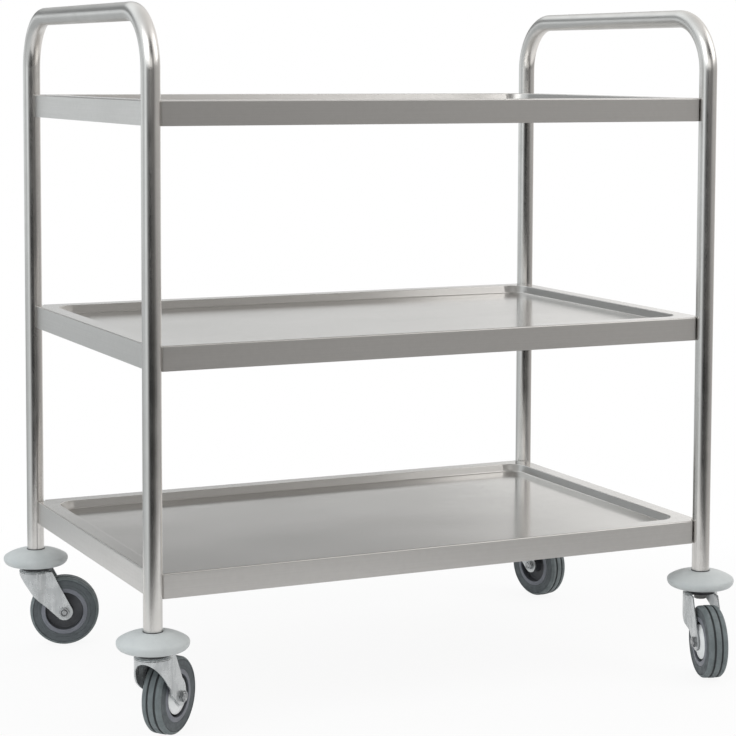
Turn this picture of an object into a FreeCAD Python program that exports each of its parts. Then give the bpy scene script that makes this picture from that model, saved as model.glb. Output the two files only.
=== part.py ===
"""A three-shelf stainless steel serving trolley on four swivel castors.

Two bent tube frames, one at each end, are legs and push handles at once. Three folded
sheet trays hang between them on bolts through their corners. A bumper disc and a swivel
castor are bolted into the foot of each leg. Lengths are in millimetres, +X runs along the
trolley, +Y to its far side and +Z up. The floor is at height zero.
"""

import FreeCAD, Part

import math
import os

# Frame tubes
leg_spacing_x = 830.0
leg_spacing_y = 525.0
overall_height = 946.0
tube_diameter = 25.0
tube_wall = 1.2
tube_bend_radius = 75.0
leg_foot_height = 144.2

# Trays
top_tray_drop = 125.0
middle_tray_rise = 293.0
bottom_tray_rise = 72.8
tray_sheet = 1.0
apron_height = 32.7
apron_bend_radius = 2.0
apron_end_radius = 2.5
hem_width = 8.0
rim_width = 24.0
recess_depth = 11.5
recess_slope_inset = 4.0
recess_corner_radius = 28.0
recess_lip_radius = 1.5
recess_floor_radius = 2.5
tray_to_tube_gap = 1.2

# Stiffening channel under each tray floor
channel_length = 640.0
channel_width = 60.0
channel_flange = 12.0
channel_height = 12.0
channel_slope = 4.0

# Corner bolts, saddle washers and rivet nuts
bolt_drop = 22.0
bolt_diameter = 6.0
bolt_head_diameter = 11.0
bolt_head_height = 4.0
bolt_tip_from_tube_axis = 1.0
washer_diameter = 14.0
washer_thickness = 3.0
rivet_nut_diameter = 9.0
rivet_nut_flange_diameter = 12.0
rivet_nut_tip_from_tube_axis = 2.0

# Clearances
seat_gap = 0.05
running_gap = 0.1
body_gap = 0.3
hole_gap = 0.3

# Sockets and stem bolts in the feet of the legs
socket_length = 35.0
stem_diameter = 10.0
stem_reach = 30.0
stem_head_across_flats = 17.0
stem_head_height = 6.4

# Bumper discs
bumper_diameter = 95.0
bumper_height = 23.2
bumper_seat_radius = 14.0
bumper_widest_drop = 13.6
bumper_rim_radius = 5.0

# Castor swivel heads
race_plate = 2.2
race_radius = 21.5
race_skirt = 1.6
race_skirt_drop = 3.2
ball_diameter = 4.76
ball_count = 16
ball_circle_radius = 16.5
ball_sink = 0.35
crown_thickness = 3.0
crown_groove_depth = 0.8
crown_rim_depth = 2.0
crown_edge_radius = 4.0
crown_cup_radius = 20.0
kingpin_radius = 7.0
kingpin_flange_radius = 10.0
kingpin_flange_height = 1.5

# Castor forks
castor_trail = 42.0
fork_radius = 24.5
fork_half_width = 19.5
fork_plate = 2.5
fork_jog_start = 2.0
fork_jog_end = 16.0
fork_rear_drop = 5.6
fork_arch_drop = 5.6
fork_knee_rise = 25.0
fork_knee_reach = 3.0
fork_end_radius = 12.5
fork_end_middle_angle = -75.0

# Wheels
tyre_to_crown_gap = 10.14
tyre_width = 28.0
tyre_inner_share = 0.6745
tyre_crown_half_width = 3.8
tyre_groove_width = 2.4
tyre_groove_depth = 1.6
tyre_shoulder_drop = 0.6
tyre_shoulder_radius = 2.6
tyre_side_share = 0.723
hub_rim_width = 29.2
hub_rim_inner_share = 0.549
hub_web = 7.0
hub_boss_radius = 11.0
hub_boss_foot_radius = 12.0
hub_length = 32.0
hub_fillet = 1.6
guard_share = 0.4804
guard_sheet = 1.0
guard_collar_length = 5.0
guard_cone_drop = 3.6

# Axles
axle_diameter = 8.0
axle_head_across_flats = 13.0
axle_head_height = 4.0
axle_nut_height = 5.0
axle_tip = 0.5
axle_tip_chamfer = 1.0
axle_nut_sink = 1.2
sleeve_radius = 6.0

# Swivel headings at rest, in degrees from +X, and the side of the wheel that has the guard
castors = {
    "front_left": {"side_x": -1, "side_y": -1, "heading": 42.0, "guard_side": -1},
    "front_right": {"side_x": 1, "side_y": -1, "heading": -106.0, "guard_side": -1},
    "rear_left": {"side_x": -1, "side_y": 1, "heading": -18.0, "guard_side": 1},
    "rear_right": {"side_x": 1, "side_y": 1, "heading": -78.0, "guard_side": 1},
}

# Plain turns, and how far cutting blocks reach past what they cut
quarter_turn = 90.0
full_turn = 360.0
upright_tolerance = 1.0
overrun = 1.0

# What follows from the sizes above
half_x = leg_spacing_x / 2
half_y = leg_spacing_y / 2
tube_radius = tube_diameter / 2
tube_bore_radius = tube_radius - tube_wall
handle_axis_height = overall_height - tube_radius
notch_radius = tube_radius + tray_to_tube_gap
bolt_radius = bolt_diameter / 2
stem_radius = stem_diameter / 2
axle_radius = axle_diameter / 2
ball_radius = ball_diameter / 2
leg_inner_face = fork_half_width - fork_plate
bumper_foot_height = leg_foot_height - bumper_height
race_face_height = bumper_foot_height - race_plate
ball_height = race_face_height - ball_radius + ball_sink
crown_top_height = ball_height - ball_radius - seat_gap + crown_groove_depth
crown_foot_height = crown_top_height - crown_thickness
kingpin_flange_top = crown_foot_height - body_gap
kingpin_foot_height = kingpin_flange_top - kingpin_flange_height
fork_rear_height = crown_foot_height - fork_rear_drop
fork_arch_height = crown_foot_height - fork_arch_drop
wheel_radius = (crown_foot_height - tyre_to_crown_gap) / 2
tyre_inner_radius = wheel_radius * tyre_inner_share
hub_rim_inner_radius = wheel_radius * hub_rim_inner_share
guard_radius = wheel_radius * guard_share
fork_knee_height = wheel_radius + fork_knee_rise
bottom_tray_height = leg_foot_height + bottom_tray_rise
tray_heights = {
    "top": overall_height - top_tray_drop,
    "middle": bottom_tray_height + middle_tray_rise,
    "bottom": bottom_tray_height,
}

UP = FreeCAD.Vector(0, 0, 1)
ORIGIN = FreeCAD.Vector(0, 0, 0)


def point(x, y, z):
    """A point or a direction."""
    return FreeCAD.Vector(x, y, z)


def plan_point(u, v):
    """The place of outline values in a horizontal outline."""
    return FreeCAD.Vector(u, v, 0)


def side_point(u, v):
    """The place of outline values in an upright outline, radius or length first, then height."""
    return FreeCAD.Vector(u, 0, v)


def rounded_face(corners, place):
    """A flat face through corners (u, v, radius), each rounded by a tangent arc of its radius."""
    spots = [place(u, v) for u, v, _ in corners]
    joints = []
    for i, (_, _, radius) in enumerate(corners):
        here = spots[i]
        back = (spots[i - 1] - here).normalize()
        ahead = (spots[(i + 1) % len(spots)] - here).normalize()
        half_angle = back.getAngle(ahead) / 2
        cut = radius / math.tan(half_angle)
        inward = (back + ahead).normalize() if radius else back
        middle = here + inward * (radius / math.sin(half_angle) - radius)
        joints.append((here + back * cut, middle, here + ahead * cut, radius))
    edges = []
    for i, (_, _, leave, _) in enumerate(joints):
        enter, middle, end, radius = joints[(i + 1) % len(joints)]
        edges.append(Part.makeLine(leave, enter))
        if radius:
            edges.append(Part.Arc(enter, middle, end).toShape())
    return Part.Face(Part.Wire(edges))


def turned(corners):
    """A solid of revolution about +Z from outline corners (radius, height, rounding)."""
    return rounded_face(corners, side_point).revolve(ORIGIN, UP, full_turn)


def disc(radius, low, high):
    """An upright cylinder on the Z axis between two heights."""
    return Part.makeCylinder(radius, high - low, point(0, 0, low))


def ring(inner, outer, low, high):
    """An upright tube on the Z axis between two heights."""
    return disc(outer, low, high).cut(disc(inner, low - overrun, high + overrun))


def hexagon(across_flats, low, high):
    """An upright hexagonal prism on the Z axis, with its flats' corners taken off by a cone."""
    sides = 6
    corner_radius = across_flats / 2 / math.cos(math.pi / sides)
    turns = [2 * math.pi * k / sides for k in range(sides)]
    spots = [point(corner_radius * math.cos(a), corner_radius * math.sin(a), low) for a in turns]
    prism = Part.Face(Part.makePolygon(spots + spots[:1])).extrude(UP * (high - low))
    chamfer = corner_radius - across_flats / 2
    bevel = turned(
        [
            (0, low, 0),
            (across_flats / 2, low, 0),
            (corner_radius, low + chamfer, 0),
            (corner_radius, high - chamfer, 0),
            (across_flats / 2, high, 0),
            (0, high, 0),
        ]
    )
    return prism.common(bevel)


def moved(shape, x, y, z):
    """A copy of a shape, shifted."""
    copy = shape.copy()
    copy.translate(point(x, y, z))
    return copy


def spun(shape, degrees):
    """A copy of a shape, turned about the Z axis."""
    copy = shape.copy()
    copy.rotate(ORIGIN, UP, degrees)
    return copy


def laid_on_y(shape, x, z, outward):
    """A copy of a shape made on the Z axis, laid along +Y or -Y through a place in the XZ plane."""
    copy = shape.copy()
    copy.rotate(ORIGIN, point(1, 0, 0), -quarter_turn * outward)
    copy.translate(point(x, 0, z))
    return copy


def corner_places():
    """The plan places of the four legs with the signs of their sides."""
    return [(sx, sy, sx * half_x, sy * half_y) for sx in (-1, 1) for sy in (-1, 1)]


def diagonal(shape, sx, sy, height):
    """A copy of a shape made on the Z axis, laid from a leg's axis towards the tray's middle."""
    copy = shape.copy()
    copy.rotate(ORIGIN, point(0, 1, 0), quarter_turn)
    copy.rotate(ORIGIN, UP, math.degrees(math.atan2(-sy, -sx)))
    copy.translate(point(sx * half_x, sy * half_y, height))
    return copy


# The end frames


def bent_tube_solid(radius):
    """A solid rod of the tube's path, up one leg, across the handle and down the other leg."""
    bend_height = handle_axis_height - tube_bend_radius
    bend_reach = half_y - tube_bend_radius
    reach_share = math.sqrt(1 / 2)
    arc_y = bend_reach + tube_bend_radius * reach_share
    arc_z = bend_height + tube_bend_radius * reach_share
    feet = [point(0, side * half_y, leg_foot_height) for side in (-1, 1)]
    starts = [point(0, side * half_y, bend_height) for side in (-1, 1)]
    middles = [point(0, side * arc_y, arc_z) for side in (-1, 1)]
    ends = [point(0, side * bend_reach, handle_axis_height) for side in (-1, 1)]
    path = Part.Wire(
        [
            Part.makeLine(feet[0], starts[0]),
            Part.Arc(starts[0], middles[0], ends[0]).toShape(),
            Part.makeLine(ends[0], ends[1]),
            Part.Arc(ends[1], middles[1], starts[1]).toShape(),
            Part.makeLine(starts[1], feet[1]),
        ]
    )
    section = Part.Wire([Part.makeCircle(radius, feet[0], UP)])
    return path.makePipeShell([section], True, False)


def end_frame(side_x):
    """One bent tube with the rivet nut holes for the tray corners."""
    tube = bent_tube_solid(tube_radius).cut(bent_tube_solid(tube_bore_radius))
    tube = moved(tube, side_x * half_x, 0, 0)
    hole = disc(rivet_nut_diameter / 2 + seat_gap, tube_bore_radius / 2, tube_radius + overrun)
    for tray_top in tray_heights.values():
        for side_y in (-1, 1):
            tube = tube.cut(diagonal(hole, side_x, side_y, tray_top - bolt_drop))
    return tube


# The trays


def tray_block(inset, low, high, end_radius, top_radius):
    """A block of the tray's plan, drawn in all round, with a notch about each leg."""
    box_x = half_x - inset
    box_y = half_y - inset
    block = Part.makeBox(2 * box_x, 2 * box_y, high - low, point(-box_x, -box_y, low))
    for _, _, x, y in corner_places():
        block = block.cut(moved(disc(notch_radius + inset, low - overrun, high + overrun), x, y, 0))
    if end_radius:
        upright = [edge for edge in block.Edges if is_upright_line(edge)]
        block = block.makeFillet(end_radius, upright)
    if top_radius:
        block = block.makeFillet(top_radius, edges_at_height(block, high))
    return block


def is_upright_line(edge):
    """Whether an edge is a straight vertical one."""
    along = edge.tangentAt(edge.FirstParameter)
    return edge.Curve.TypeId == "Part::GeomLine" and abs(along.z) > math.cos(math.radians(upright_tolerance))


def edges_at_height(shape, height):
    """The edges of a shape that lie flat at one height."""
    close = seat_gap / 2
    return [
        edge
        for edge in shape.Edges
        if abs(edge.BoundBox.ZMin - height) < close and abs(edge.BoundBox.ZMax - height) < close
    ]


def rounded_rectangle(reach_x, reach_y, radius, height):
    """The wire of a rectangle with round corners about the Z axis."""
    corners = [
        (reach_x, reach_y, radius),
        (-reach_x, reach_y, radius),
        (-reach_x, -reach_y, radius),
        (reach_x, -reach_y, radius),
    ]
    return moved(rounded_face(corners, plan_point).OuterWire, 0, 0, height)


def recess_block(tray_top, grow, floor_drop, floor_radius):
    """The sunk part of the tray as a tapered block, grown sideways and downwards for its outside."""
    drawn_in = recess_slope_inset * floor_drop / recess_depth
    top_x = half_x - rim_width + grow
    top_y = half_y - rim_width + grow
    top_corner = recess_corner_radius + grow
    opening = rounded_rectangle(top_x, top_y, top_corner, tray_top)
    floor = rounded_rectangle(
        top_x - drawn_in, top_y - drawn_in, top_corner - drawn_in, tray_top - floor_drop
    )
    block = Part.makeLoft([opening, floor], True, True)
    return block.makeFillet(floor_radius, edges_at_height(block, tray_top - floor_drop))


def tray(tray_top):
    """One tray: apron with a hem, flat rim and a shallow recess, all of one sheet thickness."""
    apron_foot = tray_top - apron_height
    slope = math.atan(recess_slope_inset / recess_depth)
    skin = tray_block(0, apron_foot, tray_top, apron_end_radius, apron_bend_radius)
    hollow = tray_block(
        tray_sheet,
        apron_foot + tray_sheet,
        tray_top - tray_sheet,
        apron_end_radius - tray_sheet,
        apron_bend_radius - tray_sheet,
    )
    mouth_x = half_x - hem_width
    mouth_y = half_y - hem_width
    mouth_low = apron_foot - overrun
    mouth_high = apron_foot + tray_sheet + overrun
    mouth = Part.makeBox(
        2 * mouth_x, 2 * mouth_y, mouth_high - mouth_low, point(-mouth_x, -mouth_y, mouth_low)
    )
    for _, _, x, y in corner_places():
        mouth = mouth.cut(
            moved(disc(notch_radius + tray_sheet, mouth_low - overrun, mouth_high + overrun), x, y, 0)
        )
    grow = tray_sheet / math.cos(slope)
    outside = recess_block(tray_top, grow, recess_depth + tray_sheet, recess_floor_radius + tray_sheet)
    inside = recess_block(tray_top, 0, recess_depth, recess_floor_radius)
    sheet = skin.cut(hollow).cut(mouth).fuse(outside).cut(inside)
    sheet = sheet.removeSplitter()
    sheet = sheet.makeFillet(recess_lip_radius, lip_edges(sheet, tray_top))
    hole = disc(bolt_radius + hole_gap, tube_radius, notch_radius + tray_sheet + overrun)
    for sx, sy, _, _ in corner_places():
        sheet = sheet.cut(diagonal(hole, sx, sy, tray_top - bolt_drop))
    return sheet


def lip_edges(sheet, tray_top):
    """The edges of the recess's opening, at the tray's top and inside its rim."""
    reach_x = half_x - rim_width + seat_gap
    reach_y = half_y - rim_width + seat_gap
    return [
        edge
        for edge in edges_at_height(sheet, tray_top)
        if max(abs(edge.BoundBox.XMin), abs(edge.BoundBox.XMax)) < reach_x
        and max(abs(edge.BoundBox.YMin), abs(edge.BoundBox.YMax)) < reach_y
    ]


def channel(tray_top):
    """A hat-shaped stiffener along the middle of a tray floor's underside."""
    top = tray_top - recess_depth - tray_sheet
    flange_x = channel_width / 2
    wall_x = flange_x - channel_flange
    foot_x = wall_x - channel_slope
    corners = [
        (-flange_x, top, 0),
        (-wall_x + tray_sheet, top, tray_sheet),
        (-foot_x + tray_sheet, top - channel_height + tray_sheet, tray_sheet),
        (foot_x - tray_sheet, top - channel_height + tray_sheet, tray_sheet),
        (wall_x - tray_sheet, top, tray_sheet),
        (flange_x, top, 0),
        (flange_x, top - tray_sheet, 0),
        (wall_x, top - tray_sheet, tray_sheet),
        (foot_x, top - channel_height, 2 * tray_sheet),
        (-foot_x, top - channel_height, 2 * tray_sheet),
        (-wall_x, top - tray_sheet, tray_sheet),
        (-flange_x, top - tray_sheet, 0),
    ]
    section = rounded_face(corners, lambda u, v: point(-channel_length / 2, u, v))
    return section.extrude(point(channel_length, 0, 0))


# The corner fasteners


def at_tray_corners(shape):
    """Copies of a diagonal piece at every corner of every tray."""
    return [
        diagonal(shape, sx, sy, tray_top - bolt_drop)
        for tray_top in tray_heights.values()
        for sx, sy, _, _ in corner_places()
    ]


def across_diagonal(radius, length):
    """An upright cylinder about the leg's axis, as a diagonal piece made on the Z axis meets it."""
    body = Part.makeCylinder(radius, length, point(0, 0, -length / 2))
    body.rotate(ORIGIN, point(0, 1, 0), quarter_turn)
    return body


def corner_bolt():
    """A bolt that goes in from the tray's hollow corner into the leg."""
    head_seat = notch_radius + tray_sheet + washer_thickness
    shank = disc(bolt_radius, bolt_tip_from_tube_axis, head_seat + overrun)
    head = turned(
        [
            (0, head_seat, 0),
            (bolt_head_diameter / 2, head_seat, 0),
            (bolt_head_diameter / 2, head_seat + bolt_head_height, bolt_head_height / 3),
            (0, head_seat + bolt_head_height, 0),
        ]
    )
    return shank.fuse(head).removeSplitter()


def saddle_washer():
    """A washer with one hollow face that fits the notch wall's round inside."""
    head_seat = notch_radius + tray_sheet + washer_thickness
    body = ring(bolt_radius + hole_gap, washer_diameter / 2, tube_radius, head_seat)
    wall = across_diagonal(notch_radius + tray_sheet + seat_gap, 2 * washer_diameter)
    return body.cut(wall)


def rivet_nut():
    """A threaded barrel through the tube wall with a thin flange that follows the tube."""
    within_notch = across_diagonal(notch_radius - seat_gap, 2 * rivet_nut_flange_diameter)
    flange = disc(rivet_nut_flange_diameter / 2, tube_bore_radius, notch_radius + overrun)
    flange = flange.common(within_notch)
    flange = flange.cut(across_diagonal(tube_radius + seat_gap, 2 * rivet_nut_flange_diameter))
    barrel = disc(rivet_nut_diameter / 2, rivet_nut_tip_from_tube_axis, notch_radius).common(within_notch)
    bore = disc(bolt_radius + seat_gap, 0, notch_radius + overrun)
    return flange.fuse(barrel).cut(bore).removeSplitter()


# The feet of the legs, in the castor's own place: the stem on the Z axis, the wheel towards +X


def stem_socket():
    """A threaded plug pressed into the foot of a leg."""
    return ring(
        stem_radius + seat_gap, tube_bore_radius - seat_gap, leg_foot_height, leg_foot_height + socket_length
    )


def stem_bolt():
    """The bolt that holds castor and bumper to the leg, with its head under the kingpin."""
    head = hexagon(stem_head_across_flats, kingpin_foot_height - stem_head_height, kingpin_foot_height)
    shank = disc(stem_radius, kingpin_foot_height - overrun, leg_foot_height + stem_reach)
    return head.fuse(shank).removeSplitter()


def bumper():
    """A domed disc with a round rim: one arc runs level off the seat and blends into the rim."""
    rim_reach = bumper_diameter / 2
    bore = stem_radius + hole_gap
    foot = bumper_foot_height
    rim_x = rim_reach - bumper_rim_radius
    rim_z = leg_foot_height - bumper_widest_drop
    run = rim_x - bumper_seat_radius
    drop = bumper_widest_drop
    dome_radius = (run**2 + drop**2 - bumper_rim_radius**2) / 2 / (drop - bumper_rim_radius)
    dome_z = leg_foot_height - dome_radius
    blend = math.atan2(rim_z - dome_z, run)
    belly_radius = rim_z - foot
    belly_x = rim_reach - belly_radius

    def on_arc(x, z, radius, angle):
        return side_point(x + radius * math.cos(angle), z + radius * math.sin(angle))

    level = math.radians(quarter_turn)
    seat = side_point(bumper_seat_radius, leg_foot_height)
    crest = on_arc(bumper_seat_radius, dome_z, dome_radius, (level + blend) / 2)
    shoulder = on_arc(rim_x, rim_z, bumper_rim_radius, blend)
    brow = on_arc(rim_x, rim_z, bumper_rim_radius, blend / 2)
    widest = side_point(rim_reach, rim_z)
    belly = on_arc(belly_x, rim_z, belly_radius, -level / 2)
    edges = [
        Part.makeLine(side_point(bore, foot), side_point(bore, leg_foot_height)),
        Part.makeLine(side_point(bore, leg_foot_height), seat),
        Part.Arc(seat, crest, shoulder).toShape(),
        Part.Arc(shoulder, brow, widest).toShape(),
        Part.Arc(widest, belly, side_point(belly_x, foot)).toShape(),
        Part.makeLine(side_point(belly_x, foot), side_point(bore, foot)),
    ]
    return Part.Face(Part.Wire(edges)).revolve(ORIGIN, UP, full_turn)


def ball_groove(play):
    """The round track that the balls run in, with play about them."""
    return Part.makeTorus(ball_circle_radius, ball_radius + play, point(0, 0, ball_height))


def upper_race():
    """The fixed plate over the balls, with a skirt round them."""
    skirt_foot = race_face_height - race_skirt_drop
    plate = turned(
        [
            (kingpin_radius + seat_gap, race_face_height, 0),
            (race_radius - race_skirt, race_face_height, 0),
            (race_radius - race_skirt, skirt_foot, 0),
            (race_radius, skirt_foot, 0),
            (race_radius, bumper_foot_height, race_skirt / 2),
            (kingpin_radius + seat_gap, bumper_foot_height, 0),
        ]
    )
    return plate.cut(ball_groove(body_gap))


def kingpin():
    """The hollow rivet that keeps race, balls and fork crown together."""
    bore = stem_radius + hole_gap
    return turned(
        [
            (bore, kingpin_foot_height, 0),
            (kingpin_flange_radius, kingpin_foot_height, kingpin_flange_height / 3),
            (kingpin_flange_radius, kingpin_flange_top, 0),
            (kingpin_radius, kingpin_flange_top, 0),
            (kingpin_radius, bumper_foot_height, 0),
            (bore, bumper_foot_height, 0),
        ]
    )


def balls():
    """The ring of bearing balls."""
    ball = Part.makeSphere(ball_radius, point(ball_circle_radius, 0, ball_height))
    return Part.makeCompound([spun(ball, full_turn * k / ball_count) for k in range(ball_count)])


# The fork


def fork_plan(radius, half_width, rear):
    """The fork's plan: half round in front, stepping in to two straight sides."""
    edges = [
        Part.Arc(point(0, -radius, 0), point(-radius, 0, 0), point(0, radius, 0)).toShape(),
    ]
    run = [
        point(0, radius, 0),
        point(fork_jog_start, radius, 0),
        point(fork_jog_end, half_width, 0),
        point(rear, half_width, 0),
        point(rear, -half_width, 0),
        point(fork_jog_end, -half_width, 0),
        point(fork_jog_start, -radius, 0),
        point(0, -radius, 0),
    ]
    edges += [Part.makeLine(a, b) for a, b in zip(run, run[1:])]
    return Part.Face(Part.Wire(edges))


def tangent_spot(start_x, start_z, clockwise):
    """Where a line from a place touches the round end of the fork's leg."""
    from_axle = point(start_x - castor_trail, 0, start_z - wheel_radius)
    turn = math.acos(fork_end_radius / from_axle.Length) * clockwise
    heading = math.atan2(from_axle.z, from_axle.x) + turn
    return side_point(
        castor_trail + fork_end_radius * math.cos(heading),
        wheel_radius + fork_end_radius * math.sin(heading),
    )


def fork_side():
    """The fork's side view as a block across its whole width."""
    top = crown_foot_height + crown_thickness / 3
    reach = fork_radius + overrun
    rear_x = castor_trail - fork_end_radius - fork_plate
    front_slope = (fork_arch_height - fork_knee_height) / (fork_radius - fork_knee_reach)
    rear_low = tangent_spot(rear_x, fork_rear_height, -1)
    front_low = tangent_spot(-fork_knee_reach, fork_knee_height, 1)
    downward = math.radians(fork_end_middle_angle)
    end = side_point(
        castor_trail + fork_end_radius * math.cos(downward),
        wheel_radius + fork_end_radius * math.sin(downward),
    )
    rise = top - fork_rear_height
    lean = (rear_x - rear_low.x) / (fork_rear_height - rear_low.z)
    rear_top = side_point(rear_x + rise * lean, top)
    run = [
        front_low,
        side_point(-fork_knee_reach, fork_knee_height),
        side_point(-reach, fork_arch_height + front_slope * overrun),
        side_point(-reach, top),
        rear_top,
        rear_low,
    ]
    edges = [Part.makeLine(a, b) for a, b in zip(run, run[1:])]
    edges.append(Part.Arc(rear_low, end, front_low).toShape())
    return moved(Part.Face(Part.Wire(edges)), 0, -reach, 0).extrude(point(0, 2 * reach, 0))


def crown_back():
    """What the crown leaves open behind the ball track, between the legs."""
    low = crown_foot_height - crown_rim_depth - overrun
    high = crown_top_height + overrun
    reach = fork_radius + overrun
    block = Part.makeBox(reach, 2 * leg_inner_face, high - low, point(0, -leg_inner_face, low))
    return block.cut(disc(crown_cup_radius, low - overrun, high + overrun))


def fork():
    """The pressed fork: a round crown with a ball track and two legs to the axle."""
    rear = castor_trail + fork_end_radius + overrun
    low = wheel_radius - fork_end_radius - overrun
    high = crown_foot_height
    rim_inner = fork_radius - fork_plate
    outer = moved(fork_plan(fork_radius, fork_half_width, rear), 0, 0, low).extrude(UP * (high - low))
    inner_plan = fork_plan(rim_inner, leg_inner_face, rear + overrun)
    inner = moved(inner_plan, 0, 0, low - overrun).extrude(UP * (high - low + 2 * overrun))
    legs = outer.cut(inner).common(fork_side())
    crown = turned(
        [
            (kingpin_radius + running_gap, crown_foot_height, 0),
            (rim_inner, crown_foot_height, 0),
            (rim_inner, crown_foot_height - crown_rim_depth, 0),
            (fork_radius, crown_foot_height - crown_rim_depth, 0),
            (fork_radius, crown_top_height, crown_edge_radius),
            (kingpin_radius + running_gap, crown_top_height, 0),
        ]
    )
    cut_crown = crown.cut(crown_back())
    whole = cut_crown.fuse(legs).removeSplitter().cut(ball_groove(seat_gap))
    eye = laid_on_y(disc(axle_radius + seat_gap, -rear, rear), castor_trail, wheel_radius, 1)
    return whole.cut(eye)


# The axle, made on the Z axis and laid across the fork


def across_fork(shape, outward):
    """A copy of a shape made on the Z axis, laid along the axle."""
    return laid_on_y(shape, castor_trail, wheel_radius, outward)


def axle_bolt():
    """The axle bolt, with its head on the fork's left leg and its chamfered tip past the nut."""
    tip = -fork_half_width - axle_nut_height - axle_tip
    head = hexagon(axle_head_across_flats, fork_half_width, fork_half_width + axle_head_height)
    shank = turned(
        [
            (0, tip, 0),
            (axle_radius - axle_tip_chamfer, tip, 0),
            (axle_radius, tip + axle_tip_chamfer, 0),
            (axle_radius, fork_half_width + overrun, 0),
            (0, fork_half_width + overrun, 0),
        ]
    )
    return across_fork(head.fuse(shank).removeSplitter(), 1)


def axle_nut():
    """The nut on the fork's right leg, with its bore countersunk at the outer face."""
    low = fork_half_width
    high = low + axle_nut_height
    bore = axle_radius + seat_gap
    nut = hexagon(axle_head_across_flats, low, high).cut(disc(bore, low - overrun, high + overrun))
    sink = turned(
        [
            (0, high - axle_nut_sink, 0),
            (bore, high - axle_nut_sink, 0),
            (bore + axle_nut_sink + overrun, high + overrun, 0),
            (0, high + overrun, 0),
        ]
    )
    return across_fork(nut.cut(sink), -1)


def axle_sleeve():
    """The spacer tube between the legs that the wheel turns on."""
    return across_fork(ring(axle_radius + seat_gap, sleeve_radius, -leg_inner_face, leg_inner_face), 1)


# The wheel


def hub():
    """The moulded wheel centre: rim, web and boss."""
    bore = sleeve_radius + running_gap
    rim = hub_rim_width / 2
    web = hub_web / 2
    boss = hub_length / 2
    half = [
        (bore, boss, 0),
        (hub_boss_radius, boss, hub_fillet / 2),
        (hub_boss_radius, boss - guard_collar_length, 0),
        (hub_boss_foot_radius, web, hub_fillet),
        (hub_rim_inner_radius, web, hub_fillet),
        (hub_rim_inner_radius, rim, hub_fillet / 2),
        (tyre_inner_radius, rim, hub_fillet / 2),
    ]
    return turned(half + [(r, -z, rounding) for r, z, rounding in reversed(half)])


def tyre():
    """The tyre: a wide middle rib, a groove and a narrower rib on each side, round shoulders."""
    inner = tyre_inner_radius + seat_gap
    side = tyre_width / 2
    groove_in = tyre_crown_half_width
    groove_out = groove_in + tyre_groove_width
    groove_foot = wheel_radius - tyre_groove_depth
    rib_edge = wheel_radius - tyre_shoulder_drop / 2
    shoulder = wheel_radius - tyre_shoulder_drop
    side_top = tyre_inner_radius + (wheel_radius - tyre_inner_radius) * tyre_side_share
    edge_round = tyre_groove_depth / 4
    half = [
        (inner, side, 0),
        (side_top, side, tyre_shoulder_radius),
        (shoulder, side - tyre_shoulder_radius, tyre_shoulder_radius),
        (rib_edge, groove_out, edge_round),
        (groove_foot, groove_out, edge_round),
        (groove_foot, groove_in, edge_round),
        (wheel_radius, groove_in, edge_round),
    ]
    return turned(half + [(r, -z, rounding) for r, z, rounding in reversed(half)])


def thread_guard():
    """A bright pressed disc on the hub boss that keeps threads off the axle."""
    inner = hub_boss_radius + seat_gap
    top = hub_length / 2
    collar_foot = top - guard_collar_length
    collar_round = guard_sheet / 2
    return turned(
        [
            (inner, collar_foot, 0),
            (inner + guard_sheet, collar_foot, 0),
            (inner + guard_sheet, top - guard_sheet, collar_round),
            (guard_radius, top - guard_cone_drop - guard_sheet, 0),
            (guard_radius, top - guard_cone_drop, collar_round),
            (inner + guard_sheet, top, collar_round),
            (inner, top, 0),
        ]
    )


# All pieces, each under its node name


def castor_pieces(name, castor):
    """The pieces of one castor and its foot, placed under its leg and turned to its heading."""
    guard_side = castor["guard_side"]
    local = {
        f"bumper_{name}": bumper(),
        f"upper_race_{name}": upper_race(),
        f"kingpin_{name}": kingpin(),
        f"ball_ring_{name}": balls(),
        f"fork_{name}": fork(),
        f"axle_bolt_{name}": axle_bolt(),
        f"axle_nut_{name}": axle_nut(),
        f"axle_sleeve_{name}": axle_sleeve(),
        f"wheel_hub_{name}": across_fork(hub(), 1),
        f"tyre_{name}": across_fork(tyre(), 1),
        f"thread_guard_{name}": across_fork(thread_guard(), guard_side),
    }
    x = castor["side_x"] * half_x
    y = castor["side_y"] * half_y
    return {node: moved(spun(shape, castor["heading"]), x, y, 0) for node, shape in local.items()}


def at_legs(shape):
    """Copies of an upright piece at the four legs, as one group."""
    return Part.makeCompound([moved(shape, x, y, 0) for _, _, x, y in corner_places()])


def all_pieces():
    """Every node's shape, about the middle of the four legs."""
    pieces = {
        "left_frame": end_frame(-1),
        "right_frame": end_frame(1),
        "corner_bolts": Part.makeCompound(at_tray_corners(corner_bolt())),
        "saddle_washers": Part.makeCompound(at_tray_corners(saddle_washer())),
        "rivet_nuts": Part.makeCompound(at_tray_corners(rivet_nut())),
        "stem_sockets": at_legs(stem_socket()),
        "stem_bolts": at_legs(stem_bolt()),
    }
    for level, tray_top in tray_heights.items():
        pieces[f"{level}_tray"] = tray(tray_top)
        pieces[f"{level}_channel"] = channel(tray_top)
    for name, castor in castors.items():
        pieces.update(castor_pieces(name, castor))
    return pieces


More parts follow.
